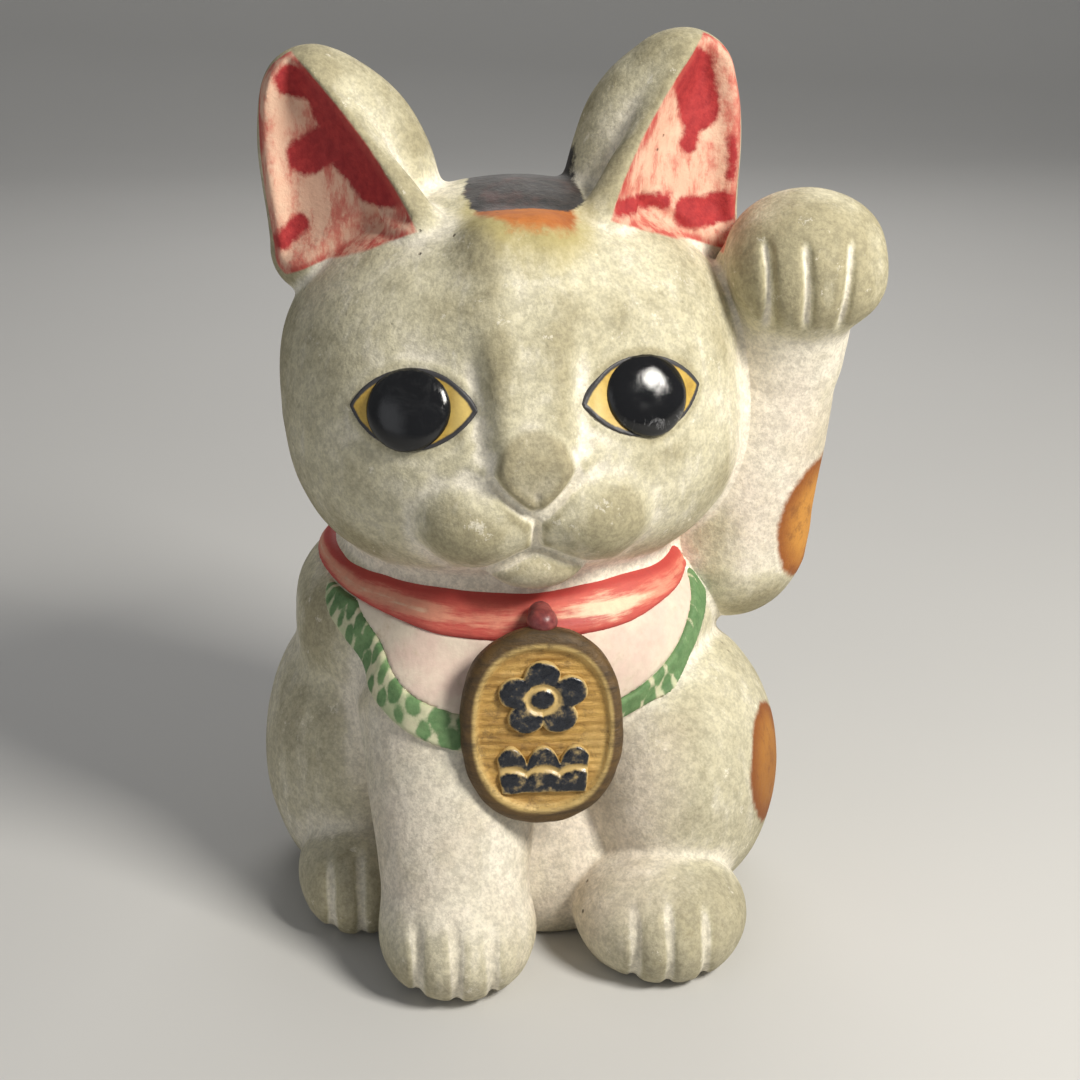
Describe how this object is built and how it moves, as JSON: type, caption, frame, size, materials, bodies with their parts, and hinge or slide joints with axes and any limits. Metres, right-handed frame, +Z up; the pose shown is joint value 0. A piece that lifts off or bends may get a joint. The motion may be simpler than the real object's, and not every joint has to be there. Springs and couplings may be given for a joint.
{
  "type": "beckoning cat figurine",
  "caption": "Seated hollow clay cat with one paw raised in beckoning, wearing a red collar, a bib and an oval gold coin.",
  "frame": {"origin": "on the flat underside of the base, on the cat's mid-plane, below the middle of the body", "axes": "+Z up; the cat faces -Y; its raised left arm is at +X"},
  "size_m": [0.1368, 0.1244, 0.19],
  "materials": {
    "aged_clay": "matte aged white slip over fired clay",
    "collar_red": "worn matte red paint",
    "bib_pink": "matte white paint with a pink tint",
    "trim_green": "dabbed matte green paint",
    "coin_gold": "brushed gold paint, satin",
    "mark_black": "gloss black enamel",
    "bell_plum": "satin plum paint",
    "eye_yellow": "satin yellow paint",
    "eye_black": "gloss black enamel"
  },
  "bodies": {
    "root": {"face_shell": "aged_clay", "head_back_shell": "aged_clay", "body_front_shell": "aged_clay", "body_back_shell": "aged_clay", "base_plate": "aged_clay", "ear_right": "aged_clay", "ear_left": "aged_clay", "raised_arm": "aged_clay", "tail": "aged_clay", "collar_band": "collar_red", "bib_panel": "bib_pink", "bib_trim_right": "trim_green", "bib_trim_left": "trim_green", "coin": "coin_gold", "coin_mark_upper": "mark_black", "coin_mark_lower": "mark_black", "collar_bell": "bell_plum", "eye_rim_right": "eye_yellow", "eye_rim_left": "eye_yellow", "eye_right": "eye_black", "eye_left": "eye_black"}
  },
  "joints": []
}
